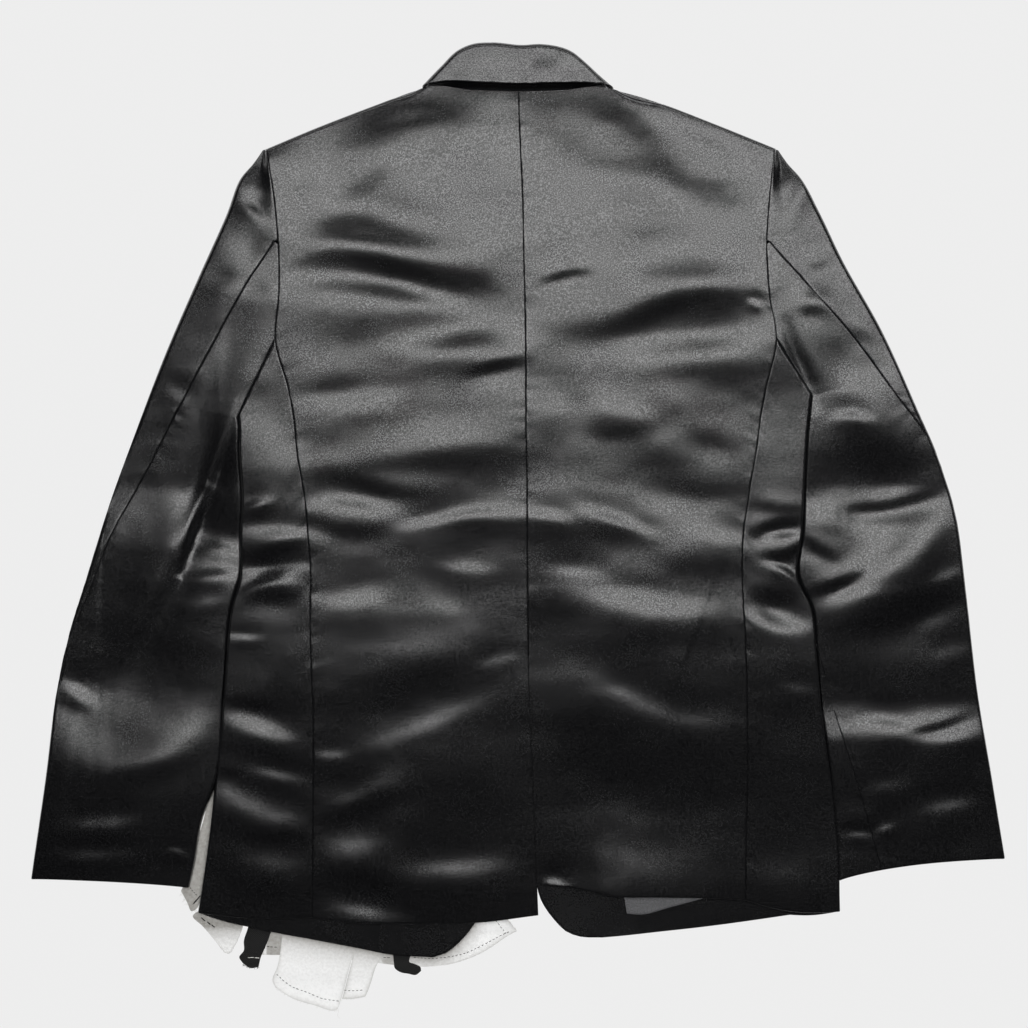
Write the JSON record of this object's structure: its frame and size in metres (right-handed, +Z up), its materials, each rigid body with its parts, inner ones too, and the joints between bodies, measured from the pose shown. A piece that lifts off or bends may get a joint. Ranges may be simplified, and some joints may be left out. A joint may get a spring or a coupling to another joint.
{
  "type": "tailored jacket",
  "caption": "Tailored satin jacket with notched lapels and a back vent, laid flat on its front, with cotton patches and tabs sewn inside its front hem.",
  "frame": {"origin": "middle of the jacket's box, on the surface that it lies on", "axes": "+Y towards the collar, +X towards the wearer's right sleeve, +Z up out of the back, which is uppermost"},
  "size_m": [0.8586, 0.8526, 0.0232],
  "materials": {
    "satin": "heavy satin, soft sheen",
    "inside_satin": "satin facing",
    "grey_satin": "satin",
    "cotton": "plain cotton, matt",
    "tape": "plain tape, matt",
    "button": "polished"
  },
  "bodies": {
    "root": {"back_left": "satin", "back_right": "satin", "side_left": "satin", "side_right": "satin", "front_left": "satin", "front_right": "satin", "sleeve_left_upper": "satin", "sleeve_left_under": "satin", "sleeve_right_upper": "satin", "sleeve_right_under": "satin", "collar_fall": "satin", "collar_stand": "satin", "lapel_left": "satin", "lapel_right": "satin", "collar_end_left": "satin", "collar_end_right": "satin", "flap_left": "satin", "flap_right": "satin", "facing_left": "inside_satin", "facing_right": "inside_satin", "hem_band": "cotton", "patch_wide": "cotton", "patch_narrow": "cotton", "tab_round": "cotton", "side_strip": "cotton", "tab_black_left": "tape", "tab_black_right": "tape", "inner_patch": "grey_satin", "button_upper": "button", "button_lower": "button"}
  },
  "joints": []
}
